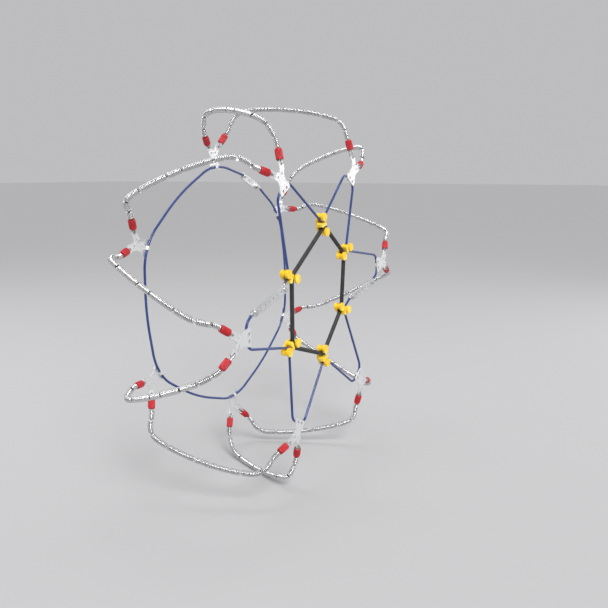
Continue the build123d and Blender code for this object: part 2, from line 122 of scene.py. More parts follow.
# Each outer arm meets an inner arm of the other hand, going round the tyre. A row is an outer
# plate, its arm's hand, an inner plate and its arm's hand.
CROSS_MEMBERS = []
for plate in range(len(OUTER_PLATES)):
    CROSS_MEMBERS.append((plate, 1, plate, -1))
    CROSS_MEMBERS.append((plate, -1, (plate + 1) % len(INNER_PLATES), 1))
# each hook's cable post by radius and angle, and how far the hook is turned
HOOKS = [
    (0.170, 92.7, 18.0),
    (0.148, 40.4, -10.0),
    (0.116, -23.2, 4.0),
    (0.149, -86.1, 13.0),
    (0.171, -147.5, -10.0),
    (0.161, 155.8, 2.0),
]
# each link's pivot stud, then its end stud, by radius and angle
LEFT_STUDS = ((0.259, 178.0), (0.164, 166.5))
RIGHT_STUDS = ((0.233, 0.3), (0.133, -8.2))
INNER_STUDS = ((0.268, 71.0), (0.268, 59.0))


# ---- placing ------------------------------------------------------------------------------------


def at(rho, degrees, y):
    turn = math.radians(degrees)
    return np.array([rho * math.cos(turn), y, rho * math.sin(turn)])


def heading(degrees):
    return at(1.0, degrees, 0.0)


def unit(v):
    return v / np.linalg.norm(v)


def foot_point(spec, side, u, v, y):
    rho, degrees, turn = spec
    axis = heading(degrees + turn)
    across = heading(degrees + turn + 90.0)
    return at(rho, degrees, side * y) + axis * u + across * v


def arm_frame(spec, side, hand):
    """The bend line's middle, the bent arm's direction and the bent tab's outward normal."""
    along = heading(spec[1] + spec[2] + hand * ARM_ANGLE)
    outward = np.array([0.0, side, 0.0])
    bend = foot_point(spec, side, ARM_ROOT_U, 0.0, PLATE_Y) + along * ARM_FLAT_LENGTH
    lean = math.radians(ARM_LEAN)
    axis = along * math.cos(lean) - outward * math.sin(lean)
    normal = outward * math.cos(lean) + along * math.sin(lean)
    return bend, axis, normal


def past_tip(spec, side, hand, distance):
    bend, axis, _ = arm_frame(spec, side, hand)
    return bend + axis * (ARM_TAB_LENGTH + distance)


def half_turn(before, corner, after):
    a, b = unit(corner - before), unit(after - corner)
    return math.acos(max(-1.0, min(1.0, float(a @ b)))) / 2.0


def easy_radii(points):
    """The arc at each corner of a cord that keeps to its route as loosely as it can."""
    radii = []
    for before, corner, after in zip(points, points[1:], points[2:]):
        shorter = min(np.linalg.norm(corner - before), np.linalg.norm(after - corner))
        radii.append(EASY_SHARE * shorter / math.tan(half_turn(before, corner, after)))
    return radii


def along_route(points, radii, step):
    """Points every step along straight runs joined by tangent arcs."""
    line = [points[0]]
    for before, corner, after, radius in zip(points, points[1:], points[2:], radii):
        half = half_turn(before, corner, after)
        to_before, to_after = unit(before - corner), unit(after - corner)
        inwards = unit(to_before + to_after)
        centre = corner + inwards * radius / math.cos(half)
        start = corner + to_before * radius * math.tan(half)
        spoke = unit(start - centre)
        across = to_after * math.tan(half) * radius + corner - centre
        across = unit(across - spoke * (across @ spoke))
        turns = max(2, int(2.0 * half * radius / (step * 0.5)) + 1)
        for number in range(turns + 1):
            angle = 2.0 * half * number / turns
            line.append(centre + radius * (spoke * math.cos(angle) + across * math.sin(angle)))
    line.append(points[-1])
    return resampled(np.array(line), step)


def run_along(line):
    """How far along a line each of its points is."""
    return np.r_[0.0, np.cumsum(np.linalg.norm(np.diff(line, axis=0), axis=1))]


def read_at(wanted, run, values):
    """A line's points or directions at the wanted distances along it."""
    return np.stack([np.interp(wanted, run, values[:, k]) for k in range(3)], axis=1)


def unit_rows(vectors):
    return vectors / np.linalg.norm(vectors, axis=1)[:, None]


SAME_POINT = 1e-9


def resampled(line, step):
    lengths = np.linalg.norm(np.diff(line, axis=0), axis=1)
    line = line[np.r_[True, lengths > SAME_POINT]]
    run = run_along(line)
    count = max(2, int(round(run[-1] / step)) + 1)
    return read_at(np.linspace(0.0, run[-1], count), run, line)


def frames_along(line):
    """Two cross directions that turn as little as they can along a line."""
    tangents = unit_rows(np.gradient(line, axis=0))
    first = np.cross(tangents[0], (0.0, 1.0, 0.0))
    if np.linalg.norm(first) < 0.2:  # the line starts nearly along Y
        first = np.cross(tangents[0], (1.0, 0.0, 0.0))
    normals = [unit(first)]
    for tangent in tangents[1:]:
        kept = normals[-1] - tangent * (normals[-1] @ tangent)
        normals.append(unit(kept))
    normals = np.array(normals)
    return normals, np.cross(tangents, normals)


# ---- meshes -------------------------------------------------------------------------------------


def new_piece(name, vertices, faces, material, smooth=True):
    mesh = bpy.data.meshes.new(name)
    mesh.from_pydata([tuple(v) for v in vertices], [], faces)
    mesh.update()
    # the flat caps of a tube stay flat, so that pieces of one cord meet without a line
    mesh.polygons.foreach_set("use_smooth", [smooth and len(face) <= 4 for face in faces])
    mesh.materials.append(material)
    piece = bpy.data.objects.new(name, mesh)
    bpy.context.scene.collection.objects.link(piece)
    return piece


def turn_angles(sides):
    return np.linspace(0.0, 2.0 * math.pi, sides, endpoint=False)


def ring_round(centre, radius, angles, first, second):
    """Points round a centre, in the plane of two cross directions."""
    return (
        centre
        + (radius * np.cos(angles))[:, None] * first
        + (radius * np.sin(angles))[:, None] * second
    )


def swept(line, radius_at, sides, frames=None):
    """Vertices and faces of a tube. radius_at(index, angles) gives its radius all round."""
    normals, binormals = frames or frames_along(line)
    angles = turn_angles(sides)
    rings = [
        ring_round(centre, radius_at(index, angles), angles, normals[index], binormals[index])
        for index, centre in enumerate(line)
    ]
    faces = []
    last_ring = (len(line) - 1) * sides
    for here in range(0, last_ring, sides):
        there = here + sides
        for k in range(sides):
            n = (k + 1) % sides
            faces.append((here + k, here + n, there + n, there + k))
    faces.append(tuple(reversed(range(sides))))
    faces.append(tuple(range(last_ring, last_ring + sides)))
    return np.concatenate(rings), faces


def joined(parts):
    """Several vertex and face lists as one."""
    vertices, faces, base = [], [], 0
    for some_vertices, some_faces in parts:
        vertices.append(some_vertices)
        faces += [tuple(base + k for k in face) for face in some_faces]
        base += len(some_vertices)
    return np.concatenate(vertices), faces


BROAD_FACE = 0.00002  # square metres; a fold between two faces this large stays crisp
CRISP_FOLD = 3.0
SAME_PLANE = 1.0
HARD_EDGE = 28.0
WELD = 1e-6
PLATE_BEVEL, STUD_BEVEL, FERRULE_BEVEL, HOOK_BEVEL = 0.00045, 0.0005, 0.0006, 0.0011


def bevelled_copy(node, name, material, width, segments=3):
    """A CAD node's shape with its hard edges softened, as its own piece."""
    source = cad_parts[node]
    mesh = bmesh.new()
    mesh.from_mesh(source.data)
    bmesh.ops.remove_doubles(mesh, verts=mesh.verts, dist=WELD)
    bmesh.ops.dissolve_degenerate(mesh, edges=mesh.edges, dist=WELD)
    limit = math.radians(SAME_PLANE)
    bmesh.ops.dissolve_limit(mesh, angle_limit=limit, verts=mesh.verts, edges=mesh.edges)
    for edge in mesh.edges:
        if len(edge.link_faces) == 2 and min(f.calc_area() for f in edge.link_faces) > BROAD_FACE:
            edge.smooth = edge.calc_face_angle() < math.radians(CRISP_FOLD)
    data = bpy.data.meshes.new(name)
    mesh.to_mesh(data)
    mesh.free()
    piece = bpy.data.objects.new(name, data)
    bpy.context.scene.collection.objects.link(piece)
    data.materials.append(material)
    data.polygons.foreach_set("use_smooth", [True] * len(data.polygons))
    bevel = piece.modifiers.new("soft_edges", "BEVEL")
    bevel.width = width
    bevel.segments = segments
    bevel.limit_method = "ANGLE"
    bevel.angle_limit = math.radians(HARD_EDGE)
    bevel.use_clamp_overlap = True
    flatten = piece.modifiers.new("flat_faces", "WEIGHTED_NORMAL")
    flatten.mode = "FACE_AREA"
    flatten.weight = 100
    flatten.keep_sharp = True
    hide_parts(node)
    return piece


# ---- materials ----------------------------------------------------------------------------------


class Nodes:
    """A small help for writing a material's nodes."""

    def __init__(self, name):
        self.material = bpy.data.materials.new(name)
        self.material.use_nodes = True
        self.tree = self.material.node_tree
        self.shader = self.tree.nodes["Principled BSDF"]
        self.place = self.add("ShaderNodeTexCoord").outputs["Object"]

    def add(self, kind):
        return self.tree.nodes.new(kind)

    def link(self, output, target):
        self.tree.links.new(output, target)

    def noise(self, scale, detail=3.0, roughness=0.5):
        node = self.add("ShaderNodeTexNoise")
        node.inputs["Scale"].default_value = scale
        node.inputs["Detail"].default_value = detail
        node.inputs["Roughness"].default_value = roughness
        self.link(self.place, node.inputs["Vector"])
        return node.outputs["Fac"]

    def ramp(self, factor, stops):
        node = self.add("ShaderNodeValToRGB")
        elements = node.color_ramp.elements
        while len(elements) < len(stops):
            elements.new(0.5)
        for element, (position, colour) in zip(elements, stops):
            element.position = position
            element.color = (*colour, 1.0)
        self.link(factor, node.inputs["Fac"])
        return node.outputs["Color"]

    def tones(self, factor, dark, light):
        """Two close tones of one colour, so that it varies over a piece."""
        return self.ramp(factor, [(0.3, dark), (0.7, light)])

    def span(self, factor, low, high):
        node = self.add("ShaderNodeMapRange")
        node.inputs["To Min"].default_value = low
        node.inputs["To Max"].default_value = high
        self.link(factor, node.inputs["Value"])
        return node.outputs["Result"]

    def rough(self, scale, detail, low, high):
        """A roughness that wanders between two values."""
        return self.span(self.noise(scale, detail), low, high)

    def bump(self, height, distance, strength, under=None):
        node = self.add("ShaderNodeBump")
        node.inputs["Distance"].default_value = distance
        node.inputs["Strength"].default_value = strength
        self.link(height, node.inputs["Height"])
        if under is not None:
            self.link(under, node.inputs["Normal"])
        return node.outputs["Normal"]

    def grain(self, scale, detail, distance, strength):
        """A fine bump all over."""
        return self.bump(self.noise(scale, detail), distance, strength)

    def mix(self, factor, first, second):
        node = self.add("ShaderNodeMix")
        node.data_type = "RGBA"
        self.link(factor, node.inputs["Factor"])
        for socket, value in ((node.inputs[6], first), (node.inputs[7], second)):
            if isinstance(value, tuple):
                socket.default_value = (*value, 1.0)
            else:
                self.link(value, socket)
        return node.outputs[2]

    def painted_edge_highlight(self, low, high):
        """1 on raised edges, from the surface's pointiness: where a highlight is painted."""
        sharp = self.add("ShaderNodeNewGeometry").outputs["Pointiness"]
        node = self.add("ShaderNodeMapRange")
        node.inputs["From Min"].default_value = low
        node.inputs["From Max"].default_value = high
        self.link(sharp, node.inputs["Value"])
        return node.outputs["Result"]

    def put(self, **sockets):
        for name, value in sockets.items():
            socket = self.shader.inputs[name.replace("_", " ")]
            if isinstance(value, bpy.types.NodeSocket):
                self.link(value, socket)
            else:
                socket.default_value = value
        return self.material


def zinc_plate():
    """Bright white zinc with a faint spangle and fine handling marks."""
    n = Nodes("zinc_plate")
    cloud = n.noise(55.0, 4.0)
    fine = n.noise(900.0, 2.0)
    tone = n.tones(cloud, (0.50, 0.505, 0.51), (0.62, 0.625, 0.63))
    # painted highlight: the raised edges are coloured paler, as if they caught the light
    colour = n.mix(n.painted_edge_highlight(0.52, 0.60), tone, (0.78, 0.785, 0.79))
    normal = n.bump(fine, 0.00008, 0.5, n.bump(cloud, 0.0004, 0.25))
    return n.put(
        Base_Color=colour,
        Metallic=0.55,
        Roughness=n.rough(130.0, 3.0, 0.30, 0.46),
        Normal=normal,
    )


def coil_steel():
    """Bright drawn spring wire, its tone varying at random in fine patches."""
    n = Nodes("coil_steel")
    cloud = n.noise(40.0, 3.0)
    tone = n.tones(cloud, (0.56, 0.565, 0.57), (0.70, 0.705, 0.71))
    colour = n.mix(n.noise(420.0, 2.0), tone, (0.70, 0.70, 0.70))
    return n.put(
        Base_Color=colour,
        Metallic=1.0,
        Roughness=n.rough(300.0, 2.0, 0.20, 0.34),
        Normal=n.grain(1600.0, 2.0, 0.00003, 0.4),
    )


def cable_steel():
    """Galvanised wire rope, duller than the coils."""
    n = Nodes("cable_steel")
    tone = n.tones(n.noise(260.0, 4.0), (0.36, 0.365, 0.37), (0.58, 0.585, 0.59))
    return n.put(
        Base_Color=tone,
        Metallic=0.95,
        Roughness=n.rough(500.0, 2.0, 0.34, 0.50),
        Normal=n.grain(2200.0, 2.0, 0.00005, 0.5),
    )


def red_plastic():
    """Moulded red sleeves, with a highlight painted on their ribs."""
    n = Nodes("red_plastic")
    cloud = n.noise(45.0, 3.0)
    tone = n.tones(cloud, (0.44, 0.008, 0.014), (0.57, 0.014, 0.022))
    # painted highlight: the raised ribs are coloured a paler red
    colour = n.mix(n.painted_edge_highlight(0.53, 0.62), tone, (0.74, 0.07, 0.05))
    return n.put(
        Base_Color=colour,
        Roughness=n.rough(240.0, 3.0, 0.34, 0.50),
        Specular_IOR_Level=0.5,
        Normal=n.grain(1500.0, 2.0, 0.00006, 0.5),
    )


def yellow_plastic():
    """Glass-filled nylon in warm yellow, with a highlight painted along its edges."""
    n = Nodes("yellow_plastic")
    cloud = n.noise(60.0, 4.0)
    tone = n.tones(cloud, (0.92, 0.56, 0.014), (0.98, 0.66, 0.024))
    # painted highlight: the raised edges are coloured a paler yellow
    colour = n.mix(n.painted_edge_highlight(0.53, 0.64), tone, (1.0, 0.80, 0.12))
    return n.put(
        Base_Color=colour,
        Roughness=n.rough(200.0, 3.0, 0.30, 0.46),
        Subsurface_Weight=0.05,
        Subsurface_Scale=0.002,
        Normal=n.grain(1100.0, 2.0, 0.00008, 0.5),
    )


def ring_rubber():
    """Black rubber with a thin film of dust in places."""
    n = Nodes("ring_rubber")
    cloud = n.noise(70.0, 4.0)
    tone = n.tones(cloud, (0.012, 0.012, 0.013), (0.030, 0.030, 0.032))
    dusty = n.ramp(n.noise(22.0, 5.0, 0.6), [(0.55, (0.0, 0.0, 0.0)), (0.8, (0.35, 0.35, 0.35))])
    colour = n.mix(dusty, tone, (0.075, 0.073, 0.070))
    return n.put(
        Base_Color=colour,
        Roughness=n.rough(300.0, 3.0, 0.46, 0.66),
        Normal=n.grain(1300.0, 3.0, 0.0001, 0.5),
    )


def blue_sheath():
    """A clear-coated navy cover drawn tight over wire rope."""
    n = Nodes("blue_sheath")
    cloud = n.noise(50.0, 3.0)
    tone = n.tones(cloud, (0.010, 0.030, 0.15), (0.020, 0.056, 0.25))
    return n.put(
        Base_Color=tone,
        Roughness=n.rough(260.0, 3.0, 0.26, 0.40),
        Coat_Weight=0.35,
        Coat_Roughness=0.15,
        Normal=n.grain(900.0, 2.0, 0.00004, 0.4),
    )


def stud_steel():
    """Turned steel, bright and nearly even."""
    n = Nodes("stud_steel")
    tone = n.tones(n.noise(150.0, 4.0), (0.56, 0.56, 0.57), (0.74, 0.74, 0.75))
    return n.put(
        Base_Color=tone,
        Metallic=1.0,
        Roughness=n.rough(400.0, 2.0, 0.22, 0.38),
        Normal=n.grain(1400.0, 2.0, 0.00005, 0.5),
    )


def ferrule_metal():
    """Pressed light alloy, a little duller than the studs."""
    n = Nodes("ferrule")
    tone = n.tones(n.noise(120.0, 4.0), (0.58, 0.59, 0.60), (0.76, 0.77, 0.78))
    return n.put(
        Base_Color=tone,
        Metallic=1.0,
        Roughness=n.rough(350.0, 2.0, 0.30, 0.48),
        Normal=n.grain(1200.0, 2.0, 0.00006, 0.5),
    )


SLOTS = {
    "zinc_plate": zinc_plate(),
    "coil_steel": coil_steel(),
    "cable_steel": cable_steel(),
    "red_plastic": red_plastic(),
    "yellow_plastic": yellow_plastic(),
    "ring_rubber": ring_rubber(),
    "blue_sheath": blue_sheath(),
    "stud_steel": stud_steel(),
    "ferrule": ferrule_metal(),
}


def settle(piece, body):
    if body is not None:
        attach(piece, body)
    return piece


# ---- cross members: coils, rollers, cables, eyes, sleeves ---------------------------------------

STEP = 0.0006
ROPE_STEP = 0.0012
ROPE_STRANDS, ROPE_LAY, STRAND_RELIEF = 6, 0.028, 0.00035
CABLE_SIDES, EYE_SIDES = 22, 24
MID_RUN = 5  # the point of a member's route where its run over the middle of the tread starts


def stand_off(index, side, hand):
    if side == INNER:
        return INNER_STAND_OFF
    return SLEEVE_STAND_OFFS[index][0 if hand < 0 else 1]


def member_points(member):
    outer_plate, outer_hand, inner_plate, inner_hand = member
    ends = (
        (OUTER_PLATES[outer_plate], OUTER, outer_hand),
        (INNER_PLATES[inner_plate], INNER, inner_hand),
    )
    offs = (stand_off(outer_plate, OUTER, outer_hand), INNER_STAND_OFF)
    ferrule_end = FERRULE_INSET + FERRULE_LENGTH
    first = [past_tip(*end, off + ferrule_end) for end, off in zip(ends, offs)]
    reaches = [max(FIRST_BEND, off + SLEEVE_LENGTH + BEND_CLEARANCE) for off in offs]
    bends = [past_tip(*end, reach) for end, reach in zip(ends, reaches)]
    turns = [math.degrees(math.atan2(p[2], p[0])) for p in bends]
    sweep_turn = (turns[1] - turns[0] + 180.0) % 360.0 - 180.0
    across = [(rho, -y) for rho, y in SHOULDER] + [(rho, y) for rho, y in reversed(SHOULDER)]
    middle = []
    for rho, y in across:
        share = (y + SHOULDER_SPAN) / (2.0 * SHOULDER_SPAN)
        middle.append(at(rho, turns[0] + share * sweep_turn, y))
    return [first[0], bends[0], *middle, bends[1], first[1]]


WIRE_R = 0.00155
WIRE_PITCH = 0.00318
TURN_STEPS, WIRE_SIDES = 24, 9


def coil(line):
    """A close-wound wire along a line, as vertices and faces."""
    run = run_along(line)
    normals, binormals = frames_along(line)
    usable = run[-1] - 2.0 * WIRE_R
    turns = int(round(usable / WIRE_PITCH))
    count = turns * TURN_STEPS + 1
    place = WIRE_R + np.linspace(0.0, usable, count)
    angle = np.linspace(0.0, 2.0 * math.pi * turns, count)
    across, other = read_at(place, run, normals), read_at(place, run, binormals)
    spoke = across * np.cos(angle)[:, None] + other * np.sin(angle)[:, None]
    helix = read_at(place, run, line) + (COIL_OUTER_R - WIRE_R) * spoke
    side = unit_rows(np.cross(unit_rows(np.gradient(helix, axis=0)), spoke))

    def round_wire(index, angles):
        return np.full(len(angles), WIRE_R)

    return swept(helix, round_wire, WIRE_SIDES, frames=(spoke, side))


def part_of(line, start, end):
    """The stretch of a line between two distances along it."""
    count = max(2, int((end - start) / STEP) + 1)
    return read_at(np.linspace(start, end, count), run_along(line), line)


def route_length(line):
    return float(np.linalg.norm(np.diff(line, axis=0), axis=1).sum())


def laid_radius(line, radius, strands, lay, relief):
    """The radius of a laid rope: each strand shows as a rounded ridge that winds along it."""
    run = run_along(line)

    def radius_at(index, angles):
        phase = strands * (angles + 2.0 * math.pi * run[index] / lay)
        return radius - relief * (1.0 - np.abs(np.cos(phase / 2.0)))

    return radius_at


def rope(line, sides):
    radius_at = laid_radius(line, CABLE_R, ROPE_STRANDS, ROPE_LAY, STRAND_RELIEF)
    return swept(line, radius_at, sides)


def coil_stretches(length, middle):
    """Where the fixed coils start and end along a member whose roller's middle is given."""
    bare = SLEEVE_LENGTH + COIL_CLEARANCE - FERRULE_INSET - FERRULE_LENGTH
    coiled = length / 2.0 - bare - ROLLER_LENGTH / 2.0
    for far_side in (False, True):
        to_roller = (length - middle if far_side else middle) - ROLLER_LENGTH / 2.0
        for k in range(len(COIL_SHARES)):
            low = bare + sum(COIL_SHARES[:k]) * coiled + (COIL_GAP / 2.0 if k else 0.0)
            high = bare + sum(COIL_SHARES[: k + 1]) * coiled - COIL_GAP / 2.0
            if k == len(COIL_SHARES) - 1:
                high = to_roller - ROLLER_GAP
            yield (length - high, length - low) if far_side else (low, high)


rope_parts = []
for number, member in enumerate(CROSS_MEMBERS, 1):
    points = member_points(member)
    line = along_route(points, easy_radii(points), STEP)
    length = route_length(line)
    before, after = points[MID_RUN], points[MID_RUN + 1]
    centre = (before + after) / 2.0
    middle = float(np.argmin(np.linalg.norm(line - centre, axis=1))) / (len(line) - 1) * length
    parts = [coil(part_of(line, low, high)) for low, high in coil_stretches(length, middle)]
    piece = new_piece(f"coil_wire_{number}", *joined(parts), SLOTS["coil_steel"])
    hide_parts(f"traction_coils_{number}")
    settle(piece, "chain")

    direction = unit(after - before)
    ends = centre - direction * ROLLER_LENGTH / 2.0, centre + direction * ROLLER_LENGTH / 2.0
    roller = coil(resampled(np.array(ends), STEP))
    turning = new_piece(f"roller_wire_{number}", *roller, SLOTS["coil_steel"])
    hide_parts(f"roller_coil_{number}")
    settle(turning, f"roller_{number}")
    rope_parts.append(rope(resampled(line, ROPE_STEP), CABLE_SIDES))

cables = new_piece("cross_ropes", *joined(rope_parts), SLOTS["cable_steel"])
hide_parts("cross_cables")
settle(cables, "chain")


# ---- sleeves, ferrules and eyes -----------------------------------------------------------------

ARMS = []
for arm_side, plates in ((OUTER, OUTER_PLATES), (INNER, INNER_PLATES)):
    for index, spec in enumerate(plates):
        for hand in (-1, 1):
            ARMS.append((spec, arm_side, hand, stand_off(index, arm_side, hand)))
SLEEVE_RIBS = 14
SLEEVE_SIDES = 126
# distance from the sleeve's end next to the plate, radius, depth of the grooves between the ribs
SLEEVE_PROFILE = [
    (0.0168, 0.0024, 0.0),
    (0.0168, 0.0057, 0.0),
    (0.0006, 0.0057, 0.0),
    (0.0000, 0.0061, 0.0),
    (0.0000, 0.0066, 0.0),
    (0.0004, 0.0069, 0.0),
    (0.0014, 0.0073, 0.0),
    (0.0026, 0.0074, 0.0),
    (0.0030, 0.0073, 0.0001),
    (0.0036, 0.0074, 0.0007),
    (0.0052, 0.0074, 0.0010),
    (0.0105, 0.0074, 0.0010),
    (0.0158, 0.0074, 0.0010),
    (0.0174, 0.0073, 0.0007),
    (0.0181, 0.0071, 0.0001),
    (0.0186, 0.0071, 0.0),
    (0.0204, 0.0069, 0.0),
    (0.0216, 0.0062, 0.0),
    (0.0220, 0.0053, 0.0),
    (0.0220, 0.0024, 0.0),
]


def ribbed_sleeve(spec, side, hand, off):
    """A moulded sleeve with lengthwise ribs between two plain collars."""
    _, axis, normal = arm_frame(spec, side, hand)
    cross = np.cross(axis, normal)
    angles = turn_angles(SLEEVE_SIDES)
    grooved = np.clip(0.5 - 0.9 * np.cos(SLEEVE_RIBS * angles), 0.0, 1.0)
    rings = []
    for distance, radius, groove in SLEEVE_PROFILE:
        centre = past_tip(spec, side, hand, off + distance)
        rings.append(ring_round(centre, radius - groove * grooved, angles, normal, cross))
    faces = []
    for ring in range(len(rings)):
        here, there = ring * SLEEVE_SIDES, (ring + 1) % len(rings) * SLEEVE_SIDES
        for k in range(SLEEVE_SIDES):
            n = (k + 1) % SLEEVE_SIDES
            faces.append((here + k, there + k, there + n, here + n))
    return np.concatenate(rings), faces


for name, side in (("outer_sleeves", OUTER), ("inner_sleeves", INNER)):
    parts = [ribbed_sleeve(*arm) for arm in ARMS if arm[1] == side]
    piece = new_piece(f"ribbed_{name}", *joined(parts), SLOTS["red_plastic"])
    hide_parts(name)
    settle(piece, "chain")

piece = bevelled_copy("crimp_ferrules", "pressed_ferrules", SLOTS["ferrule"], FERRULE_BEVEL)
settle(piece, "chain")

EYE_STEPS = 24
EYE_GAP = 0.0005  # between the end of each leg of an eye and the ferrule


def eye_line(spec, side, hand, off):
    """The hairpin of a cable eye, through the arm's outer hole and back to the ferrule."""
    bend, axis, normal = arm_frame(spec, side, hand)
    reach = ARM_TAB_LENGTH + off + FERRULE_INSET - EYE_GAP
    near = OUTER_HOLE_L + EYE_R
    line = [bend + axis * reach + normal * EYE_R]
    for number in range(EYE_STEPS + 1):
        angle = math.pi / 2.0 + math.pi * number / EYE_STEPS
        out, over = EYE_R * math.cos(angle), EYE_R * math.sin(angle)
        line.append(bend + axis * (near + out) + normal * over)
    line.append(bend + axis * reach - normal * EYE_R)
    return resampled(np.array(line), STEP)


parts = [rope(eye_line(*arm), EYE_SIDES) for arm in ARMS]
piece = new_piece("rope_eyes", *joined(parts), SLOTS["cable_steel"])
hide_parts("cable_eyes")
settle(piece, "chain")


# ---- plates, links, studs and hooks -------------------------------------------------------------

def soften(node, name, slot_name, body, width, segments=3):
    """A CAD node with softened edges, as a piece with a slot and a body."""
    settle(bevelled_copy(node, name, SLOTS[slot_name], width, segments), body)


LINKS = ("adjuster_left", "adjuster_right", "inner_link")
STUD_BODIES = (
    ("end_stud_left", "adjuster_left"),
    ("end_stud_right", "adjuster_right"),
    ("inner_end_stud", "inner_link"),
    ("pivot_studs", "chain"),
)
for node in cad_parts:
    if node.startswith(("outer_plate_", "inner_plate_")):
        soften(node, f"stamped_{node}", "zinc_plate", "chain", PLATE_BEVEL)
for link in LINKS:
    soften(link, f"stamped_{link}", "zinc_plate", link, PLATE_BEVEL)
for node, body in STUD_BODIES:
    soften(node, f"turned_{node}", "stud_steel", body, STUD_BEVEL)
for number in range(1, len(HOOKS) + 1):
    node, name = f"tensioner_hook_{number}", f"moulded_hook_{number}"
    soften(node, name, "yellow_plastic", f"hook_{number}", HOOK_BEVEL, 4)


# ---- rubber ring --------------------------------------------------------------------------------


def cable_post(spec):
    return at(spec[0], spec[1], -CORD_Y)


def rubber_post(spec):
    return cable_post(spec) - heading(spec[1] + spec[2]) * POST_SPACING


RING_STEP, RING_SIDES = 0.0012, 40
ARC_STEPS = 24
TANGENT_REACH = 0.0004
RUBBER_SINK, PARTING_RISE, PARTING_SPREAD = 0.00012, 0.00018, 0.004


def ring_line():
    """The rubber's centre line, a closed hexagon round the six rubber posts."""
    reach = POST_R + RUBBER_R + CORD_TO_POST
    posts = [rubber_post(spec) for spec in HOOKS]
    line = []
    for k, post in enumerate(posts):
        before, after = posts[k - 1], posts[(k + 1) % len(posts)]
        arriving, leaving = unit(post - before), unit(after - post)
        # the hooks run clockwise seen along +Y, so the outer side is to the left of each run
        out_a = np.array([-arriving[2], 0.0, arriving[0]])
        out_b = np.array([-leaving[2], 0.0, leaving[0]])
        start = math.atan2(out_a[2], out_a[0])
        turn = (math.atan2(out_b[2], out_b[0]) - start + math.pi) % (2.0 * math.pi) - math.pi
        for number in range(ARC_STEPS + 1):
            angle = start + turn * number / ARC_STEPS
            line.append(post + reach * np.array([math.cos(angle), 0.0, math.sin(angle)]))
    return np.array(line)


hexagon = ring_line()
closed = np.concatenate([hexagon, hexagon[:1]])
ring_run = run_along(closed)
total = ring_run[-1]
marks = []  # for each hook: its arc's start, middle and end, and the middle of the run after it
for k in range(len(HOOKS)):
    first = k * (ARC_STEPS + 1)
    start, end = ring_run[first], ring_run[first + ARC_STEPS]
    following = ring_run[first + ARC_STEPS + 1]
    marks.append((start, (start + end) / 2.0, end, (end + following) / 2.0))


def ring_at(distances):
    distances = np.mod(distances, total)
    return read_at(distances, ring_run, closed)


def ring_piece(name, start, end, material):
    count = max(3, int((end - start) / RING_STEP) + 1)
    distances = np.linspace(start, end, count)
    line = ring_at(distances)
    ahead = unit_rows(ring_at(distances + TANGENT_REACH) - ring_at(distances - TANGENT_REACH))
    up = np.tile(np.array([0.0, -1.0, 0.0]), (count, 1))

    def section(index, angles):
        parting = np.exp(-((np.cos(angles)) ** 2) / PARTING_SPREAD)
        return RUBBER_R - RUBBER_SINK + PARTING_RISE * parting

    vertices, faces = swept(line, section, RING_SIDES, frames=(up, np.cross(ahead, up)))
    return new_piece(name, vertices, faces, material)


for k in range(len(HOOKS)):
    body = f"hook_{k + 1}"
    start, top, end, after = marks[k]
    before = marks[k - 1][3] - (total if k == 0 else 0.0)
    for name, low, high, far, near in (
        (f"ring_to_hook_{k + 1}", before, top, before, start),
        (f"ring_from_hook_{k + 1}", top, after, after, end),
    ):
        piece = ring_piece(name, low, high, SLOTS["ring_rubber"])
        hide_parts("tensioner_ring")
        settle(piece, None)
        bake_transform(piece)


# ---- side cables --------------------------------------------------------------------------------


def foot_corner(index, hand):
    return foot_point(OUTER_PLATES[index], OUTER, FOOT_HOLE_U, hand * FOOT_BEND_V, CORD_Y)


def tangent_heading(start, post, reach, hand):
    gap = post - start
    return math.degrees(
        math.atan2(gap[2], gap[0]) - hand * math.asin(reach / np.linalg.norm(gap))
    )


def crossing(start, first, end, second):
    a, b, gap = heading(first), heading(second), end - start
    return start + a * (gap[0] * b[2] - gap[2] * b[0]) / (a[0] * b[2] - a[2] * b[0])


def round_post(before, spec, after):
    reach = POST_R + BLUE_R + CORD_TO_POST
    post = cable_post(spec)
    return crossing(
        before,
        tangent_heading(before, post, reach, 1),
        after,
        tangent_heading(after, post, reach, -1),
    )


def side_cable(first_stud, plates, hooks, last_stud):
    """The corners and radii of an outer side cable, and where its hooks' corners are."""
    corners, radii, hook_places = [], [], []
    before = first_stud
    for plate, hook in zip(plates, hooks):
        near, far = foot_corner(plate, 1), foot_corner(plate, -1)
        hook_places.append(len(corners))
        corners += [round_post(before, HOOKS[hook], near), near, far]
        radii += [POST_R + BLUE_R + CORD_TO_POST, FOOT_BEND_R, FOOT_BEND_R]
        before = far
    start = first_stud + unit(corners[0] - first_stud) * STUD_REACH
    end = last_stud + unit(corners[-1] - last_stud) * STUD_REACH
    return [start, *corners, end], radii, hook_places


SHEATH_SIDES, SHEATH_STEP = 28, 0.0009
SHEATH_STRANDS, SHEATH_LAY, SHEATH_RELIEF = 7, 0.034, 0.00013


def cut_tube(line, radius_at, frames, first, last):
    """A stretch of a coated cable between two samples, with the whole cable's cross frames."""
    chosen = slice(first, last + 1)

    def shifted(index, angles):
        return radius_at(index + first, angles)

    some_frames = tuple(values[chosen] for values in frames)
    return swept(line[chosen], shifted, SHEATH_SIDES, frames=some_frames)


def sheathed(name, node, line, spans):
    """Pieces of a coated cable. Each span is (first sample, last sample, a body, and None or a
    further body with two points). A span with None rides on its body; any other span rides on no
    body, and its bodies and points are not used."""
    frames = frames_along(line)
    radius_at = laid_radius(line, BLUE_R, SHEATH_STRANDS, SHEATH_LAY, SHEATH_RELIEF)
    for number, (first, last, fixed, moving) in enumerate(spans, 1):
        tube = cut_tube(line, radius_at, frames, first, last)
        piece = new_piece(f"{name}_{number}", *tube, SLOTS["blue_sheath"])
        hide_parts(node)
        if moving is None:
            settle(piece, fixed)
        else:
            settle(piece, None)
            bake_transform(piece)


def nearest_sample(line, point):
    return int(np.argmin(np.linalg.norm(line - point, axis=1)))


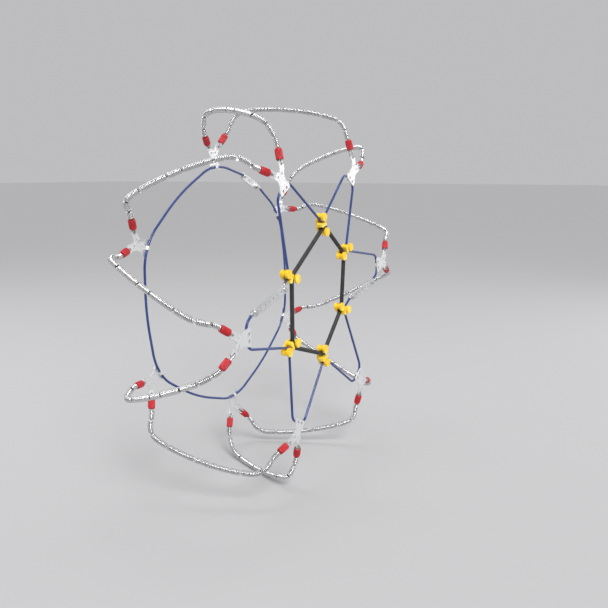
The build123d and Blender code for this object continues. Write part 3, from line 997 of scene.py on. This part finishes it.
def outer_cable(name, node, first_stud, plates, hooks, last_stud, stud_body):
    """An outer side cable in pieces, cut at its hooks and at the stud that it starts at."""
    points, radii, places = side_cable(first_stud, plates, hooks, last_stud)
    line = along_route(points, radii, SHEATH_STEP)
    spans = []
    before = 0
    for number, (place, hook) in enumerate(zip(places, hooks)):
        body = f"hook_{hook + 1}"
        corner = points[place + 1]
        previous, following = points[place], points[place + 2]
        top = nearest_sample(line, corner)
        half_in = nearest_sample(line, (corner + previous) / 2.0)
        half_out = nearest_sample(line, (corner + following) / 2.0)
        wrap = radii[place] * math.tan(half_turn(previous, corner, following))
        wrap_in = corner + unit(previous - corner) * wrap
        wrap_out = corner + unit(following - corner) * wrap
        if number == 0:
            spans.append((0, half_in, "chain", (stud_body, line[half_in], line[0])))
        else:
            spans.append((before, half_in, "chain", None))
        spans.append((half_in, top, "chain", (body, line[half_in], wrap_in)))
        spans.append((top, half_out, "chain", (body, line[half_out], wrap_out)))
        before = half_out
    spans.append((before, len(line) - 1, "chain", None))
    sheathed(name, node, line, spans)


left = [at(*stud, -CORD_Y) for stud in LEFT_STUDS]
right = [at(*stud, -CORD_Y) for stud in RIGHT_STUDS]
for half, first_stud, plates, hooks, last_stud, stud_body in (
    ("upper", left[1], (0, 1, 2), (5, 0, 1), right[0], "adjuster_left"),
    ("lower", right[1], (3, 4, 5), (2, 3, 4), left[0], "adjuster_right"),
):
    node = f"outer_side_cable_{half}"
    outer_cable(f"sheath_{half}", node, first_stud, plates, hooks, last_stud, stud_body)

hoop = []
inner_studs = [at(*stud, CORD_Y) for stud in INNER_STUDS]
order = [1, 0, 5, 4, 3, 2]
for place, index in enumerate(order):
    spec = INNER_PLATES[index]
    for hand in (-1, 1):
        hoop.append(foot_point(spec, INNER, FOOT_HOLE_U, hand * HOOP_SHOULDER_V, CORD_Y))
    if place < len(order) - 1:
        half_way = ((INNER_PLATES[order[place + 1]][1] - spec[1]) % 360.0) / 2.0
        hoop.append(at(HOOP_MIDSPAN, spec[1] + half_way, CORD_Y))
start = inner_studs[0] + unit(hoop[0] - inner_studs[0]) * STUD_REACH
end = inner_studs[1] + unit(hoop[-1] - inner_studs[1]) * STUD_REACH
hoop = [start, *hoop, end]
line = along_route(hoop, easy_radii(hoop), SHEATH_STEP)
loose_end = nearest_sample(line, at(HOOP_MIDSPAN, LOOSE_END_ANGLE, CORD_Y))
sheathed(
    "sheath_inner",
    "inner_side_cable",
    line,
    [
        (0, loose_end, "chain", None),
        (loose_end, len(line) - 1, "chain", ("inner_link", line[loose_end], line[-1])),
    ],
)


# ---- stage --------------------------------------------------------------------------------------

FLOOR_HALF, FLOOR_DROP = 40.0, 0.002
floor_z = cad_box[0][2] - FLOOR_DROP
floor_corners = ((-1, -1), (1, -1), (1, 1), (-1, 1))
floor = new_piece(
    "floor",
    [(x * FLOOR_HALF, y * FLOOR_HALF, floor_z) for x, y in floor_corners],
    [(0, 1, 2, 3)],
    bpy.data.materials.new("floor"),
    smooth=False,
)
floor_material = floor.data.materials[0]
floor_material.use_nodes = True
floor_shader = floor_material.node_tree.nodes["Principled BSDF"]
floor_shader.inputs["Base Color"].default_value = (0.47, 0.47, 0.475, 1.0)
floor_shader.inputs["Roughness"].default_value = 0.75

# Pale behind the chain as it is photographed, dimmer on the other side for the metal to mirror.
PALE_SIDE = (0.80, 0.48, 0.36)
SKY_STOPS = ((0.15, 0.30), (0.75, 0.64))  # place on the ramp, grey level
SKY_STRENGTH = 0.8

world = bpy.data.worlds.new("studio")
bpy.context.scene.world = world
world.use_nodes = True
tree = world.node_tree
background = tree.nodes["Background"]
direction_node = tree.nodes.new("ShaderNodeTexCoord")
towards = tree.nodes.new("ShaderNodeVectorMath")
towards.operation = "DOT_PRODUCT"
towards.inputs[1].default_value = PALE_SIDE
tree.links.new(direction_node.outputs["Generated"], towards.inputs[0])
facing = tree.nodes.new("ShaderNodeMapRange")
facing.inputs["From Min"].default_value = -1.0
tree.links.new(towards.outputs["Value"], facing.inputs["Value"])
sky = tree.nodes.new("ShaderNodeValToRGB")
for element, (position, level) in zip(sky.color_ramp.elements, SKY_STOPS):
    element.position = position
    element.color = (level, level, level * 1.02, 1.0)
tree.links.new(facing.outputs["Result"], sky.inputs["Fac"])
tree.links.new(sky.outputs["Color"], background.inputs["Color"])
background.inputs["Strength"].default_value = SKY_STRENGTH


def aimed(name, data, aim):
    """A light whose beam runs along aim."""
    lamp = bpy.data.objects.new(name, data)
    lamp.rotation_euler = aim.to_track_quat("-Z", "Y").to_euler()
    bpy.context.scene.collection.objects.link(lamp)
    return lamp


def soft_light(name, location, size, power):
    """A large lamp turned to the middle of the chain."""
    light = bpy.data.lights.new(name, "AREA")
    light.shape = "RECTANGLE"
    light.size, light.size_y = size
    light.energy = power
    aimed(name, light, -Vector(location)).location = location


sun = bpy.data.lights.new("key", "SUN")
sun.energy = 2.3
sun.angle = math.radians(24.0)
aimed("key", sun, Vector((1.0, 1.3, -1.5)))
soft_light("left", (-2.4, -2.6, 1.6), (0.9, 2.4), 26.0)
soft_light("right", (2.6, -1.6, 1.0), (0.7, 2.2), 16.0)
soft_light("top", (0.2, 0.3, 3.2), (2.0, 1.0), 24.0)
soft_light("back", (-0.8, 2.9, 1.6), (1.6, 1.2), 22.0)

# The camera was fitted to the photographed tyre and wheel.
LENS = 42.05
AZIMUTH, ELEVATION = math.radians(-58.846), math.radians(10.488)
DISTANCE, TO_THE_RIGHT, DOWN = 1.593346, 0.072483, 0.02908

camera_data = bpy.data.cameras.new("camera")
camera_data.sensor_width = 36.0
camera_data.lens = LENS
camera_data.clip_start, camera_data.clip_end = 0.05, 200.0
camera = bpy.data.objects.new("camera", camera_data)
level_reach = math.cos(ELEVATION)
back = Vector(
    (math.sin(AZIMUTH) * level_reach, -math.cos(AZIMUTH) * level_reach, math.sin(ELEVATION))
)
right_way = Vector((math.cos(AZIMUTH), math.sin(AZIMUTH), 0.0))
up_way = back.cross(right_way)
camera.location = back * DISTANCE + right_way * TO_THE_RIGHT - up_way * DOWN
turned = Matrix((right_way, up_way, back)).transposed()
camera.rotation_euler = turned.to_euler()
bpy.context.scene.collection.objects.link(camera)
bpy.context.scene.camera = camera
bpy.context.scene.view_settings.view_transform = "Standard"
